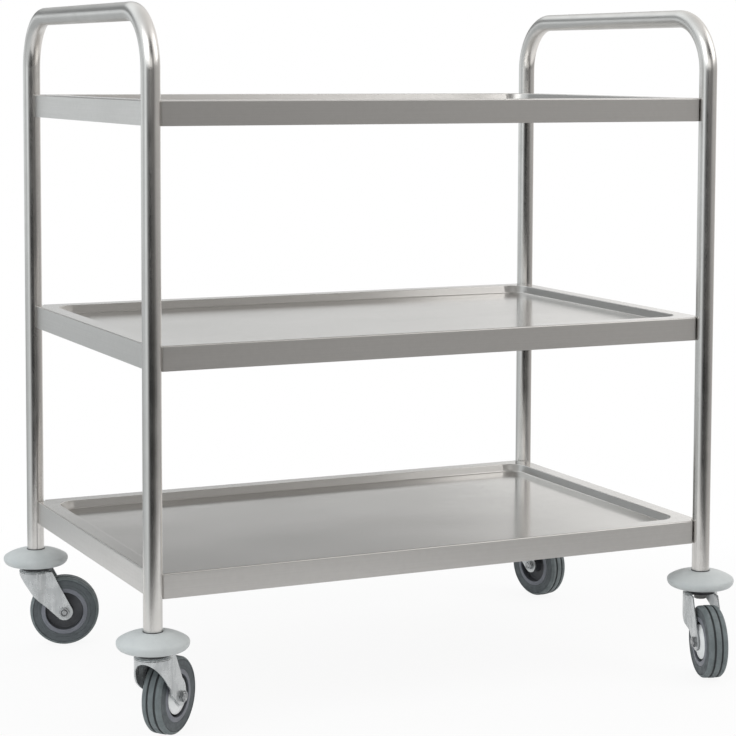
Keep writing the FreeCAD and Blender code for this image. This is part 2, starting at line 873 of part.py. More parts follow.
def main():
    """Writes each node's STEP with the origin on the floor under the middle of the whole box."""
    pieces = all_pieces()
    box = Part.makeCompound(list(pieces.values())).optimalBoundingBox(False, False)
    shift = point(-box.Center.x, -box.Center.y, -box.ZMin)
    os.makedirs("parts", exist_ok=True)
    for node, shape in pieces.items():
        shape.translate(shift)
        shape.exportStep(f"parts/{node}.step")
        if not shape.isValid():
            print("not valid:", node)
    print("middle of the legs:", round(shift.x, 4), round(shift.y, 4), round(shift.z, 4))
    for name, castor in castors.items():
        heading = math.radians(castor["heading"])
        x = castor["side_x"] * half_x + shift.x
        y = castor["side_y"] * half_y + shift.y
        axle_x = x + castor_trail * math.cos(heading)
        axle_y = y + castor_trail * math.sin(heading)
        print(name, "stem:", round(x, 4), round(y, 4), "axle:", round(axle_x, 4), round(axle_y, 4))
    print("overall:", round(box.XLength, 2), round(box.YLength, 2), round(box.ZLength, 2))


main()
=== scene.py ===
"""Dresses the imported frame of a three-shelf serving trolley on four swivel castors.

The trays, bolts and small fittings keep their CAD solids and get finishes. Tube frames,
bumpers, forks, wheels and thread guards are rebuilt as smooth surfaces that stand for
their CAD nodes. Everything is in metres in the CAD frame, with the floor at height zero.
"""

import logging
import math
from dataclasses import dataclass
from enum import Enum
from functools import reduce
from operator import add

import bmesh
import bpy
import numpy as np
from mathutils import Matrix, Vector


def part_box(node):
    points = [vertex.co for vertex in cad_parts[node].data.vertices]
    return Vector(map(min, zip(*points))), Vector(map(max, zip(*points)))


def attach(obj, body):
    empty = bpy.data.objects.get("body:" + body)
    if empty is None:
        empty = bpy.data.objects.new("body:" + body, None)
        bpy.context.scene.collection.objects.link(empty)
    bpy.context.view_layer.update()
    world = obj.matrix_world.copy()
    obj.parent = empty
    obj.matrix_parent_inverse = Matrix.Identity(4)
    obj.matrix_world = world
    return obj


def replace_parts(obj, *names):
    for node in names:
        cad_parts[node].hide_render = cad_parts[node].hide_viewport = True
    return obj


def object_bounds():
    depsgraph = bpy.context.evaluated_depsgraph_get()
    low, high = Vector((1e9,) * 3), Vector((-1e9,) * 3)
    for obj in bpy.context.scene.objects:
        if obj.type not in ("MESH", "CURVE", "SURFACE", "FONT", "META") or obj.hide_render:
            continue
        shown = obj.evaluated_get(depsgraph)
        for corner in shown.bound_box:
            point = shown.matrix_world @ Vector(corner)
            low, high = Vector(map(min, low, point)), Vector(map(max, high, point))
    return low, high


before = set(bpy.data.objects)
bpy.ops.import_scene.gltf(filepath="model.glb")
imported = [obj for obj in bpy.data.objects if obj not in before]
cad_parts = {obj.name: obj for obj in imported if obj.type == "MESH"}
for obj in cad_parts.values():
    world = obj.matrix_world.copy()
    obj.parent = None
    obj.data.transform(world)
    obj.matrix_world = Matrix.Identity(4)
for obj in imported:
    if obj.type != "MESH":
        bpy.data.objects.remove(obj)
cad_low, cad_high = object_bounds()
log = logging.getLogger("trolley")

MM = 0.001
Colour = tuple[float, float, float]
Corner = tuple[float, float, float]
Spot = tuple[float, float, float]
Range = tuple[float, float]


# Shader building


@dataclass(frozen=True)
class Wire:
    """An output socket that arithmetic can be written with, and the bench that owns its tree."""

    bench: "Bench"
    socket: bpy.types.NodeSocket

    def _math(self, operation: str, other: "Wire | float") -> "Wire":
        """Adds a Math node for one operation on this value and the other."""
        return self.bench.node("ShaderNodeMath", {"operation": operation}, {0: self, 1: other})

    def __add__(self, other: "Wire | float") -> "Wire":
        """Sum of the two values."""
        return self._math("ADD", other)

    __radd__ = __add__

    def __sub__(self, other: "Wire | float") -> "Wire":
        """This value less the other."""
        return self._math("SUBTRACT", other)

    def __mul__(self, other: "Wire | float") -> "Wire":
        """Product of the two values."""
        return self._math("MULTIPLY", other)

    __rmul__ = __mul__

    def arctangent(self, other: "Wire | float") -> "Wire":
        """The angle whose opposite side is this value and whose near side is the other."""
        return self._math("ARCTAN2", other)

    def step(self, low: float, high: float) -> "Wire":
        """A smooth step from 0 where this value is low to 1 where it is high."""
        sockets = {"Value": self, "From Min": low, "From Max": high}
        return self.bench.node("ShaderNodeMapRange", {"interpolation_type": "SMOOTHSTEP"}, sockets)


@dataclass(frozen=True)
class Bench:
    """Makes the nodes of one tree."""

    tree: bpy.types.NodeTree

    def __post_init__(self) -> None:
        """Empties the tree."""
        self.tree.nodes.clear()

    def node(self, kind: str, settings: dict | None = None, sockets: dict | None = None,
             output: int | str = 0) -> Wire:
        """Adds one node.

        Args:
            kind: the node's type.
            settings: its own properties, such as an operation or a ramp's stops, set first.
            sockets: values or wires for its input sockets, by name or number.
            output: which output to return.

        Returns:
            The wire that leaves the node.
        """
        made = self.tree.nodes.new(kind)
        for name, value in (settings or {}).items():
            if name == "stops":
                self._set_stops(made, value)
            else:
                setattr(made, name, value)
        for name, value in (sockets or {}).items():
            if isinstance(value, Wire):
                self.tree.links.new(value.socket, made.inputs[name])
            else:
                made.inputs[name].default_value = value
        return Wire(self, made.outputs[output] if len(made.outputs) else None)

    @staticmethod
    def _set_stops(ramp: bpy.types.Node, stops: list[Range]) -> None:
        """Gives a ramp grey stops, all their places first.

        Args:
            ramp: the ramp's node.
            stops: place from 0 to 1 and grey of each stop, in rising order.
        """
        elements = ramp.color_ramp.elements
        while len(elements) < len(stops):
            elements.new(1.0)
        for element, (place, _) in zip(elements, stops):
            element.position = place
        for element, (_, grey) in zip(elements, stops):
            element.color = (grey, grey, grey, 1.0)

    def coordinates(self, kind: str = "Object") -> Wire:
        """The piece's Object coordinates, or the kind named."""
        return self.node("ShaderNodeTexCoord", output=kind)

    def axes(self, vector: Wire) -> list[Wire]:
        """The x, y and z of a vector."""
        split = self.node("ShaderNodeSeparateXYZ", None, {"Vector": vector})
        return [Wire(self, output) for output in split.socket.node.outputs]

    def noise(self, scale: Spot, detail: float = 2.0, roughness: float = 0.5,
              kind: str = "Object") -> Wire:
        """Noise with its middle at one half.

        Args:
            scale: waves to the unit along each axis.
            detail: number of finer layers.
            roughness: how strong each finer layer is.
            kind: the coordinates it reads.

        Returns:
            The noise value.
        """
        sockets = {"Vector": self.coordinates(kind), "Scale": scale}
        sockets = {"Vector": self.node("ShaderNodeMapping", None, sockets), "Scale": 1.0,
                   "Detail": detail, "Roughness": roughness}
        return self.node("ShaderNodeTexNoise", None, sockets)

    def mark(self, name: str) -> Wire:
        """A number that the piece's mesh carries at each point."""
        return self.node("ShaderNodeAttribute", {"attribute_name": name}, output="Fac")

    def mix(self, share: Wire, first: "Wire | Colour", second: "Wire | Colour") -> Wire:
        """A colour that goes from the first at share 0 to the second at share 1.

        Args:
            share: the second colour's share.
            first: one colour.
            second: the other.

        Returns:
            The mixed colour.
        """
        ends = {6: first, 7: second}
        colours = {n: end if isinstance(end, Wire) else (*end, 1.0) for n, end in ends.items()}
        return self.node("ShaderNodeMix", {"data_type": "RGBA"}, {0: share, **colours}, output=2)

    def plain_light(self, kind: str) -> Wire:
        """An emission or background of white at strength 1."""
        return self.node(kind, None, {"Color": (1.0, 1.0, 1.0, 1.0), "Strength": 1.0})


def new_material(name: str) -> tuple[bpy.types.Material, Bench]:
    """A node material and the bench for its tree.

    Args:
        name: the material's name.

    Returns:
        The material and its bench.
    """
    made = bpy.data.materials.new(name)
    made.use_nodes = True
    return made, Bench(made.node_tree)


# Finishes


@dataclass(frozen=True)
class Layer:
    """One noise of a look: waves to the unit, share in the shade and depth in metres.

    A layer with an end scale takes that one on faces that look along X.
    """

    scale: Spot
    share: float = 0.0
    depth: float = 0.0
    detail: float = 2.0
    roughness: float = 0.5
    kind: str = "Object"
    end_scale: Spot | None = None
    end_range: Range = (0.4, 0.7)

    def noise(self, bench: Bench) -> Wire:
        """The layer's noise.

        Args:
            bench: the material's node maker.

        Returns:
            The noise value.
        """
        along = bench.noise(self.scale, self.detail, self.roughness, self.kind)
        if self.end_scale is None:
            return along
        across = bench.noise(self.end_scale, self.detail, self.roughness, self.kind)
        endward = bench.axes(bench.node("ShaderNodeNewGeometry", output="Normal"))[0]
        return along + (endward * endward).step(*self.end_range) * (across - along)


@dataclass(frozen=True)
class WheelZones:
    """Colours of a turned wheel part inside a border radius, and painted shade in its tread's
    grooves.

    Radii and distances are in metres and read the marks reach and across of the mesh. A
    blend is where a change starts and ends: beside the border for the first two, and as
    shares of the squared groove edge for the last two.
    """

    border: float
    pale: Colour
    dull: Colour
    groove: Range | None = None
    # near-black painted shade for the tread's grooves
    painted_groove_shade: Colour = (0.03, 0.034, 0.036)
    border_blend: Range = (-0.0004, 0.0006)
    tread_blend: Range = (0.0008, 0.0012)
    near_blend: Range = (0.85, 1.1)
    far_blend: Range = (0.9, 1.15)

    def shaded(self, bench: Bench, outer: Wire, shade: Wire) -> Wire:
        """The outer colour, changed inside the border and darkened by painted shade in the grooves.

        Args:
            bench: the material's node maker.
            outer: the colour outside the border.
            shade: the mottling that mixes pale and dull.

        Returns:
            The colour of the whole part.
        """
        reach = bench.mark("reach")
        # inside the border: painted shade in the hub's recess, darker flanks on the tyre
        inner = bench.mix(shade, self.pale, self.dull)
        colour = bench.mix(reach.step(*(self.border + b for b in self.border_blend)), inner, outer)
        if self.groove is None:
            return colour
        near, far = ((edge / MM) ** 2 for edge in self.groove)
        across = bench.mark("across")
        square = across * across * (1 / MM**2)
        within = square.step(*(near * b for b in self.near_blend))
        beyond = square.step(*(far * b for b in self.far_blend))
        outside = reach.step(*(self.border + b for b in self.tread_blend))
        # painted shade: the tread's grooves are darkened where shade falls in them
        return bench.mix((within - beyond) * outside, colour, self.painted_groove_shade)


@dataclass(frozen=True)
class Look:
    """A finish: the sum of its layers is a shade that mixes its two colours and its gloss.

    Roughness is gloss_low + gloss_spread * shade, less on level faces by level_gloss and
    more by held_gloss at the heights where hands hold the piece.
    """

    name: str
    pale: Colour
    dull: Colour
    layers: tuple[Layer, ...]
    shade_range: Range
    gloss_low: float
    gloss_spread: float
    metallic: float = 0.0
    specular: float = 0.5
    level_gloss: float = 0.0
    held_gloss: float = 0.0
    zones: WheelZones | None = None
    level_range: Range = (0.6, 0.95)
    held_heights: Range = (0.84, 0.92)

    def roughness(self, bench: Bench, shade: Wire) -> Wire:
        """The roughness at each point.

        Args:
            bench: the material's node maker.
            shade: the look's shade.

        Returns:
            The roughness as a wire.
        """
        rough = self.gloss_low + self.gloss_spread * shade
        if self.level_gloss:
            upward = bench.axes(bench.node("ShaderNodeNewGeometry", output="Normal"))[2]
            rough = rough - self.level_gloss * (upward * upward).step(*self.level_range)
        if self.held_gloss:
            height = bench.axes(bench.coordinates())[2]
            rough = rough + self.held_gloss * height.step(*self.held_heights)
        return rough

    def material(self) -> bpy.types.Material:
        """The look as a material.

        Returns:
            The new material.
        """
        made, bench = new_material(self.name)
        noises = [(layer, layer.noise(bench)) for layer in self.layers]
        shade = reduce(add, (noise * layer.share for layer, noise in noises))
        shade = shade.step(*self.shade_range)
        relief = reduce(add, (noise * layer.depth for layer, noise in noises))
        colour = bench.mix(shade, self.pale, self.dull)
        sockets = {"Height": relief, "Distance": 1.0, "Strength": 1.0}
        shader = bench.node("ShaderNodeBsdfPrincipled", None, {
            "Base Color": self.zones.shaded(bench, colour, shade) if self.zones else colour,
            "Metallic": self.metallic,
            "Specular IOR Level": self.specular,
            "Roughness": self.roughness(bench, shade),
            "Normal": bench.node("ShaderNodeBump", None, sockets),
        })
        bench.node("ShaderNodeOutputMaterial", None, {"Surface": shader})
        return made


def plated(name: str, pale: Colour, dull: Colour, streaks: float = 0.0, gloss: Range = (0.2, 0.16),
           metallic: float = 0.72) -> Look:
    """Plated or turned steel: cloudy patches, a fine tooth and upright draw marks."""
    layers = (Layer((55.0,) * 3, 0.47, 0.00005), Layer((900.0,) * 3, 0.05, 0.000002, 1.0),
              Layer((150.0, 150.0, 17.0), 0.48, streaks))
    return Look(name, pale, dull, layers, (0.36, 0.64), *gloss, metallic)


def moulded(name: str, pale: Colour, dull: Colour, gloss: Range, mottle: float = 45.0,
            tooth: float = 0.00003, zones: WheelZones | None = None) -> Look:
    """Moulded plastic or rubber: slow mottling and a fine tooth of the given depth."""
    layers = (Layer((mottle,) * 3, 0.7, 0.00004, 4.0, 0.6),
              Layer((1100.0,) * 3, 0.3, tooth, 3.0, 0.6))
    return Look(name, pale, dull, layers, (0.34, 0.66), *gloss, specular=0.4, zones=zones)


class Finish(Enum):
    """Every finish of the trolley, one member each."""

    TUBE = Look("polished_tube", (0.70, 0.685, 0.665), (0.60, 0.585, 0.565),
                (Layer((260.0, 5.0, 1.0), 0.55, 0.00004, 3.0, 0.6, "UV"),
                 Layer((21.0,) * 3, 0.45, 0.0, 3.0, 0.55)),
                (0.3, 0.72), 0.13, 0.12, 1.0, held_gloss=0.15)
    SHEET = Look("satin_sheet", (0.620, 0.606, 0.588), (0.568, 0.555, 0.538),
                 (Layer((7.0, 900.0, 900.0), 0.38, 0.000008, 3.0, 0.65,
                        end_scale=(900.0, 7.0, 900.0)),
                  Layer((2.4, 4.2, 4.2), 0.42, 0.0, 3.0),
                  Layer((140.0,) * 3, 0.2, 0.00001),
                  Layer((3.1, 3.7, 3.1), 0.0, 0.0009, 1.0, 0.4)),
                 (0.32, 0.68), 0.28, 0.07, 0.86, level_gloss=0.16)
    FASTENER = plated("plain_fastener", (0.60, 0.59, 0.575), (0.47, 0.46, 0.45),
                      gloss=(0.26, 0.16), metallic=1.0)
    ZINC = plated("bright_plate", (0.60, 0.617, 0.624), (0.47, 0.487, 0.494), streaks=0.0003)
    NUT = plated("nut_plate", (0.45, 0.46, 0.468), (0.29, 0.298, 0.305), metallic=0.95)
    # near-white and hardly metallic: the plate's own light tone, with its bright reflection painted
    # in
    GUARD = plated("guard_plate_and_painted_sheen", (0.94, 0.96, 0.965), (0.87, 0.895, 0.90), streaks=0.00012,
                   gloss=(0.3, 0.16), metallic=0.12)
    BEARING = plated("bearing_steel", (0.30, 0.30, 0.30), (0.20, 0.20, 0.20),
                     gloss=(0.24, 0.14), metallic=1.0)
    # near-black that paints the shade in gaps: under the bumpers, at the tubes' feet and behind the
    # crowns
    SHADOW_BLACK = plated("painted_shadow_black", (0.055, 0.056, 0.06), (0.03, 0.03, 0.033),
                     gloss=(0.4, 0.2), metallic=0.2)
    BUMPER = moulded("bumper_grey", (0.585, 0.615, 0.618), (0.535, 0.565, 0.57), (0.38, 0.14))
    # the hub's much darker colour inside the border is painted shade in its recess
    HUB = moulded("hub_grey", (0.215, 0.225, 0.255), (0.170, 0.179, 0.205), (0.4, 0.16),
                  zones=WheelZones(0.0279, (0.09, 0.094, 0.103), (0.062, 0.065, 0.073)))
    TYRE = moulded("tyre_grey", (0.178, 0.205, 0.212), (0.135, 0.157, 0.163), (0.5, 0.2),
                   mottle=90.0, tooth=0.00006,
                   zones=WheelZones(0.0468, (0.105, 0.120, 0.129), (0.083, 0.095, 0.102),
                                    groove=(0.0038, 0.0062)))

    def material(self) -> bpy.types.Material:
        """The member's material, made at its first use."""
        return bpy.data.materials.get(self.value.name) or self.value.material()


# Mesh building


def arc_points(u: float, v: float, radius: float, angles: np.ndarray) -> np.ndarray:
    """Points at the angles on the circle about (u, v), one row each."""
    return np.stack([u + radius * np.cos(angles), v + radius * np.sin(angles)], axis=1)


def rounded_outline(corners: list[Corner], steps: int = 6) -> np.ndarray:
    """A closed outline whose corners are rounded by tangent arcs.

    Each corner at C between unit directions a and b to its neighbours has its arc's centre
    at C + (a + b)/|a + b| * r / sin(half), where half is half the angle between a and b. The
    arc starts and ends at r / tan(half) from C. One more point stands just outside each end
    of the arc, so that smooth shading stays within the rounding.

    Args:
        corners: u, v and rounding radius of each corner, in order, in millimetres.
        steps: straight pieces in each arc.

    Returns:
        Points of the outline in metres, one row each.
    """
    spots = np.array([c[:2] for c in corners], float)
    radii = np.array([c[2] for c in corners], float)[:, None]
    back = np.roll(spots, 1, axis=0) - spots
    ahead = np.roll(spots, -1, axis=0) - spots
    a = back / np.linalg.norm(back, axis=1, keepdims=True)
    b = ahead / np.linalg.norm(ahead, axis=1, keepdims=True)
    half = np.arccos(np.clip((a * b).sum(1, keepdims=True), -1, 1)) / 2
    middle = (a + b) / np.linalg.norm(a + b, axis=1, keepdims=True)
    centre = spots + middle * radii / np.sin(half)
    start = spots + a * radii / np.tan(half)
    sweep = math.pi - 2 * half
    from_centre = start - centre
    side = np.sign(from_centre[:, :1] * b[:, 1:] - from_centre[:, 1:] * b[:, :1])
    turns = np.linspace(0, 1, steps + 1)[None, :] * sweep * side
    cos, sin = np.cos(turns), np.sin(turns)
    x = centre[:, :1] + from_centre[:, :1] * cos - from_centre[:, 1:] * sin
    y = centre[:, 1:] + from_centre[:, :1] * sin + from_centre[:, 1:] * cos
    arcs = np.stack([x, y], axis=2)
    support = 0.25 * radii
    before = (start + a * support)[:, None]
    end = spots + b * radii / np.tan(half)
    after = (end + b * support)[:, None]
    return np.concatenate([before, arcs, after], axis=1).reshape(-1, 2) * MM


def mirrored(half: list[Corner]) -> list[Corner]:
    """Half a section and its mirror image about the line v = 0."""
    return half + [(u, -v, rounding) for u, v, rounding in reversed(half)]


def piece_from_grid(name: str, grid: np.ndarray, closed_rows: bool, finish: Finish,
                    marks: dict[str, np.ndarray] | None = None) -> bpy.types.Object:
    """A smooth object from a grid of points, with u round the columns and v along the rows.

    Points that fall together are merged, and the faces turned outwards.

    Args:
        name: the piece's name.
        grid: points with shape (rows, columns, 3), in metres in the CAD frame.
        closed_rows: whether the last row joins the first.
        finish: its finish.
        marks: numbers at each grid point that its material reads, by name.

    Returns:
        The object, at the origin with its place in its mesh.
    """
    rows, columns = grid.shape[:2]
    next_row = np.arange(rows if closed_rows else rows - 1)
    r, c = np.meshgrid(next_row, np.arange(columns), indexing="ij")
    corner_rows = np.stack([r, r, r + 1, r + 1], axis=-1)
    corner_columns = np.stack([c, c + 1, c + 1, c], axis=-1)
    faces = (corner_rows % rows) * columns + corner_columns % columns
    lengths = np.linalg.norm(np.diff(grid[:, 0], axis=0), axis=1)
    along = np.concatenate([[0.0], np.cumsum(lengths), [lengths.sum()]])
    uv = np.stack([corner_columns / columns, along[corner_rows]], axis=-1)
    mesh = bpy.data.meshes.new(name)
    mesh.from_pydata(grid.reshape(-1, 3).tolist(), [], faces.reshape(-1, 4).tolist())
    layer = mesh.uv_layers.new(name="along")
    layer.data.foreach_set("uv", uv.reshape(-1).astype(np.float32))
    for mark, values in (marks or {}).items():
        numbers = mesh.attributes.new(mark, "FLOAT", "POINT")
        numbers.data.foreach_set("value", values.reshape(-1).astype(np.float32))
    work = bmesh.new()
    work.from_mesh(mesh)
    bmesh.ops.remove_doubles(work, verts=work.verts, dist=1e-7)
    bmesh.ops.recalc_face_normals(work, faces=work.faces)
    work.to_mesh(mesh)
    work.free()
    mesh.shade_smooth()
    mesh.materials.append(finish.material())
    return linked(mesh)


def linked(data: bpy.types.ID) -> bpy.types.Object:
    """Links a new object for some data.

    Args:
        data: the mesh, camera or lamp, whose name it takes.

    Returns:
        The object.
    """
    made = bpy.data.objects.new(data.name, data)
    bpy.context.scene.collection.objects.link(made)
    return made


def revolved(outline: np.ndarray, turns: int = 96) -> np.ndarray:
    """A closed outline (radius, height) turned about +Z.

    The point at outline value (r, h) and angle t is (r cos t, r sin t, h).

    Args:
        outline: closed outline in metres.
        turns: steps in the full turn.

    Returns:
        Grid of points, a row for each outline point.
    """
    t = np.linspace(0, 2 * math.pi, turns, endpoint=False)
    r, h = outline[:, :1], outline[:, 1:]
    return np.stack([r * np.cos(t), r * np.sin(t), h + 0 * t], axis=-1)


def middle_of(node: str) -> Range:
    """X and Y of the middle of a node's box."""
    low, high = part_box(node)
    return (low[0] + high[0]) / 2, (low[1] + high[1]) / 2


def turning_marks(grid: np.ndarray) -> dict[str, np.ndarray]:
    """Distance from +Z and height along it at each point, which the wheel finishes read."""
    return {"reach": np.hypot(grid[..., 0], grid[..., 1]), "across": grid[..., 2]}


def laid_on_axle(grid: np.ndarray, trail: float, height: float, side: int = 1) -> np.ndarray:
    """A grid made on +Z, laid along side times +Y through the axle's middle."""
    x, y, z = np.moveaxis(grid, -1, 0)
    return np.stack([trail + x, side * z, height - side * y], axis=-1)


def placed(grid: np.ndarray, heading: float, x: float, y: float) -> np.ndarray:
    """A grid turned by a heading in radians about +Z, then moved by x and y."""
    turned = (grid[..., 0] + 1j * grid[..., 1]) * np.exp(1j * heading)
    return np.stack([x + turned.real, y + turned.imag, grid[..., 2]], axis=-1)


def put_on(piece: bpy.types.Object, body: str, node: str = "") -> bpy.types.Object:
    """Puts a piece on its body, and lets it stand for its CAD node.

    Args:
        piece: the new piece.
        body: the body it rides on.
        node: the CAD node it replaces, if any.

    Returns:
        The piece.
    """
    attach(piece, body)
    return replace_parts(piece, node) if node else piece


# The trolley


@dataclass
class EndFrame:
    """One bent tube that is two legs and a push handle. Sizes in millimetres."""

    node: str
    tube_radius: float = 12.5
    wall: float = 1.2
    bend_radius: float = 75.0
    foot_height: float = 144.2
    lip: float = 0.35
    around: int = 64
    bend_steps: int = 40

    def path(self) -> tuple[np.ndarray, np.ndarray]:
        """The tube's middle line and its direction, in the YZ plane.

        Straight up one leg, then a quarter circle, where the point is centre + R (cos a, sin a)
        and the direction is square to that. The other half mirrors the first.

        Returns:
            Points (n, 2) and unit directions (n, 2) in metres, y first.
        """
        low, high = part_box(self.node)
        radius, bend = self.tube_radius * MM, self.bend_radius * MM
        near, top = low[1] + radius, high[2] - radius
        a = np.linspace(math.pi, math.pi / 2, self.bend_steps + 1)
        arc = arc_points(near + bend, top - bend, bend, a)
        heights = (self.foot_height + self.lip * np.arange(3)) * MM
        leg = np.stack([np.full(3, near), heights], axis=1)
        half = np.concatenate([leg, arc])
        ways = np.concatenate([np.tile([0.0, 1.0], (3, 1)),
                               np.stack([np.sin(a), -np.cos(a)], axis=1)])
        other = np.array([low[1] + high[1], 0.0]) + half[::-1] * [-1, 1]
        return np.concatenate([half, other]), np.concatenate([ways, ways[::-1] * [1, -1]])

    def skin(self, points: np.ndarray, ways: np.ndarray, radius: np.ndarray,
             x: float) -> np.ndarray:
        """Rings about the path: middle + r (cos t * X + sin t * side), side square to the path.

        Args:
            points: middle line.
            ways: its directions.
            radius: radius at each point.
            x: the frame's place along the trolley.

        Returns:
            Grid of points, a row for each ring.
        """
        t = np.linspace(0, 2 * math.pi, self.around, endpoint=False)
        r = radius[:, None]
        y = points[:, :1] - r * ways[:, 1:] * np.sin(t)
        z = points[:, 1:] + r * ways[:, :1] * np.sin(t)
        return np.stack([x + r * np.cos(t), y, z], axis=-1)

    def build(self) -> bpy.types.Object:
        """Makes the tube, open at its feet, and lets it stand for its node.

        Returns:
            The tube.
        """
        x, _ = middle_of(self.node)
        points, ways = self.path()
        outer = np.full(len(points), self.tube_radius * MM)
        outer[[0, -1]] -= self.lip * MM
        inner = np.full(len(points), (self.tube_radius - self.wall) * MM)
        outside = self.skin(points, ways, outer, x)
        inside = self.skin(points, ways, inner, x)[::-1]
        skins = np.concatenate([outside, inside])
        made = piece_from_grid(f"{self.node}_tube", skins, True, Finish.TUBE)
        return put_on(made, "trolley", self.node)


@dataclass
class Bumper:
    """A domed disc round the castor's stem. Sizes in millimetres."""

    node: str
    diameter: float = 95.0
    height: float = 23.2
    top: float = 144.2
    seat_radius: float = 14.0
    widest_drop: float = 13.6
    rim_radius: float = 5.0
    bore_radius: float = 5.3
    bore_bevel: float = 0.2
    arc_steps: tuple[int, int, int] = (28, 14, 18)
    seal_radii: Range = (12.55, 13.25)
    seal_heights: Range = (144.22, 145.2)

    def seal(self) -> np.ndarray:
        """Section of the near-black ring at the leg's foot that paints the shadow gap, in metres.
        """
        (inner, outer), (foot, rim) = self.seal_radii, self.seal_heights
        return rounded_outline([(inner, foot, 0.1), (outer, foot, 0.1),
                                (outer, rim, 0.3), (inner, rim, 0.2)])

    def outline(self) -> np.ndarray:
        """The disc's section, radius first.

        Off the flat seat an arc runs out level and blends into the rim's arc where both have
        the same direction. Its radius is (run^2 + drop^2 - rim^2) / 2 / (drop - rim). Under
        the widest line a larger quarter arc comes in to the flat underside.

        Returns:
            Closed outline in metres.
        """
        reach = self.diameter / 2
        run = reach - self.rim_radius - self.seat_radius
        drop = self.widest_drop
        dome = (run**2 + drop**2 - self.rim_radius**2) / 2 / (drop - self.rim_radius)
        blend = math.atan2(dome - drop, run)
        rim_z = self.top - drop
        foot = self.top - self.height
        belly = rim_z - foot
        crown_steps, rim_steps, belly_steps = self.arc_steps
        crown = arc_points(self.seat_radius, self.top - dome, dome,
                           np.linspace(math.pi / 2, blend, crown_steps))
        rim = arc_points(reach - self.rim_radius, rim_z, self.rim_radius,
                         np.linspace(blend, 0, rim_steps)[1:])
        under = arc_points(reach - belly, rim_z, belly,
                           np.linspace(0, -math.pi / 2, belly_steps)[1:])
        bore, bevel = self.bore_radius, self.bore_bevel
        inside = np.array([[bore + bevel, foot], [bore, foot + bevel],
                           [bore, self.top - bevel], [bore + bevel, self.top]])
        return np.concatenate([crown, rim, under, inside]) * MM

    def build(self) -> bpy.types.Object:
        """Makes the painted-shadow ring at the leg's foot and the disc, which stands for its node.

        Returns:
            The disc.
        """
        x, y = middle_of(self.node)
        # painted shadow: a near-black ring in the gap under the tube's foot
        ring = placed(revolved(self.seal(), turns=64), 0.0, x, y)
        put_on(piece_from_grid(f"{self.node}_seal", ring, True, Finish.SHADOW_BLACK),
               "trolley")
        disc = placed(revolved(self.outline(), turns=128), 0.0, x, y)
        return put_on(piece_from_grid(f"{self.node}_disc", disc, True, Finish.BUMPER),
                      "trolley", self.node)


@dataclass
class Wheel:
    """Tyre, hub and thread guard on the axle. Sizes in millimetres."""

    radius: float = 51.0
    tyre_width: float = 28.0
    tyre_inner: float = 34.4
    hub_width: float = 29.2
    recess_radius: float = 28.0
    web: float = 7.0
    boss_radius: float = 11.0
    hub_length: float = 32.0
    bore: float = 6.1
    guard_radius: float = 24.5
    guard_drop: float = 3.6
    guard_sheet: float = 1.0
    groove: Range = (3.8, 6.2)
    groove_depth: float = 1.6
    groove_round: float = 0.45

    def tyre(self) -> np.ndarray:
        """The tyre's section: a middle rib, two grooves, two ribs with round shoulders.

        Returns:
            Closed outline in metres.
        """
        rib_in, rib_out = self.groove
        foot, soft = self.radius - self.groove_depth, self.groove_round
        shoulder = self.tyre_width / 2
        half = [
            (self.tyre_inner + 0.05, shoulder, 0.2), (self.tyre_inner + 4.2, shoulder, 0.4),
            (self.tyre_inner + 4.9, shoulder - 0.5, 0.4), (self.radius - 5.6, shoulder - 0.5, 0.6),
            (self.radius - 4.8, shoulder, 0.8), (self.radius - 3.2, shoulder, 2.4),
            (self.radius - 0.5, shoulder - 3.0, 2.6),
            (self.radius - 0.3, rib_out, soft), (foot, rib_out, soft), (foot, rib_in, soft),
            (self.radius, rib_in, soft),
        ]
        return rounded_outline(mirrored(half))

    def hub(self) -> np.ndarray:
        """The hub's section: rim, recessed web and boss.

        Returns:
            Closed outline in metres.
        """
        rim, web, boss = self.hub_width / 2, self.web / 2, self.hub_length / 2
        half = [
            (self.bore, boss, 0.3), (self.boss_radius, boss, 0.6),
            (self.boss_radius + 0.8, web, 1.6), (self.recess_radius - 0.6, web, 1.8),
            (self.recess_radius, rim, 0.7),
            (self.recess_radius + 2.0, rim, 0.5), (self.recess_radius + 2.6, rim - 0.4, 0.5),
            (self.tyre_inner, rim - 0.4, 0.5),
        ]
        return rounded_outline(mirrored(half))

    def guard(self) -> np.ndarray:
        """The guard's section: a collar on the boss and a shallow cone with a curled edge.

        Returns:
            Closed outline in metres.
        """
        inner, top = self.boss_radius + 0.05, self.hub_length / 2
        sheet, drop = self.guard_sheet, self.guard_drop
        return rounded_outline([
            (inner, top - 5.0, 0.2), (inner + sheet, top - 5.0, 0.2),
            (inner + sheet, top - sheet, 0.4), (self.guard_radius, top - drop - sheet, 0.35),
            (self.guard_radius, top - drop, 0.45),
            (inner + 3.2, top, 1.6), (inner, top, 0.3),
        ])


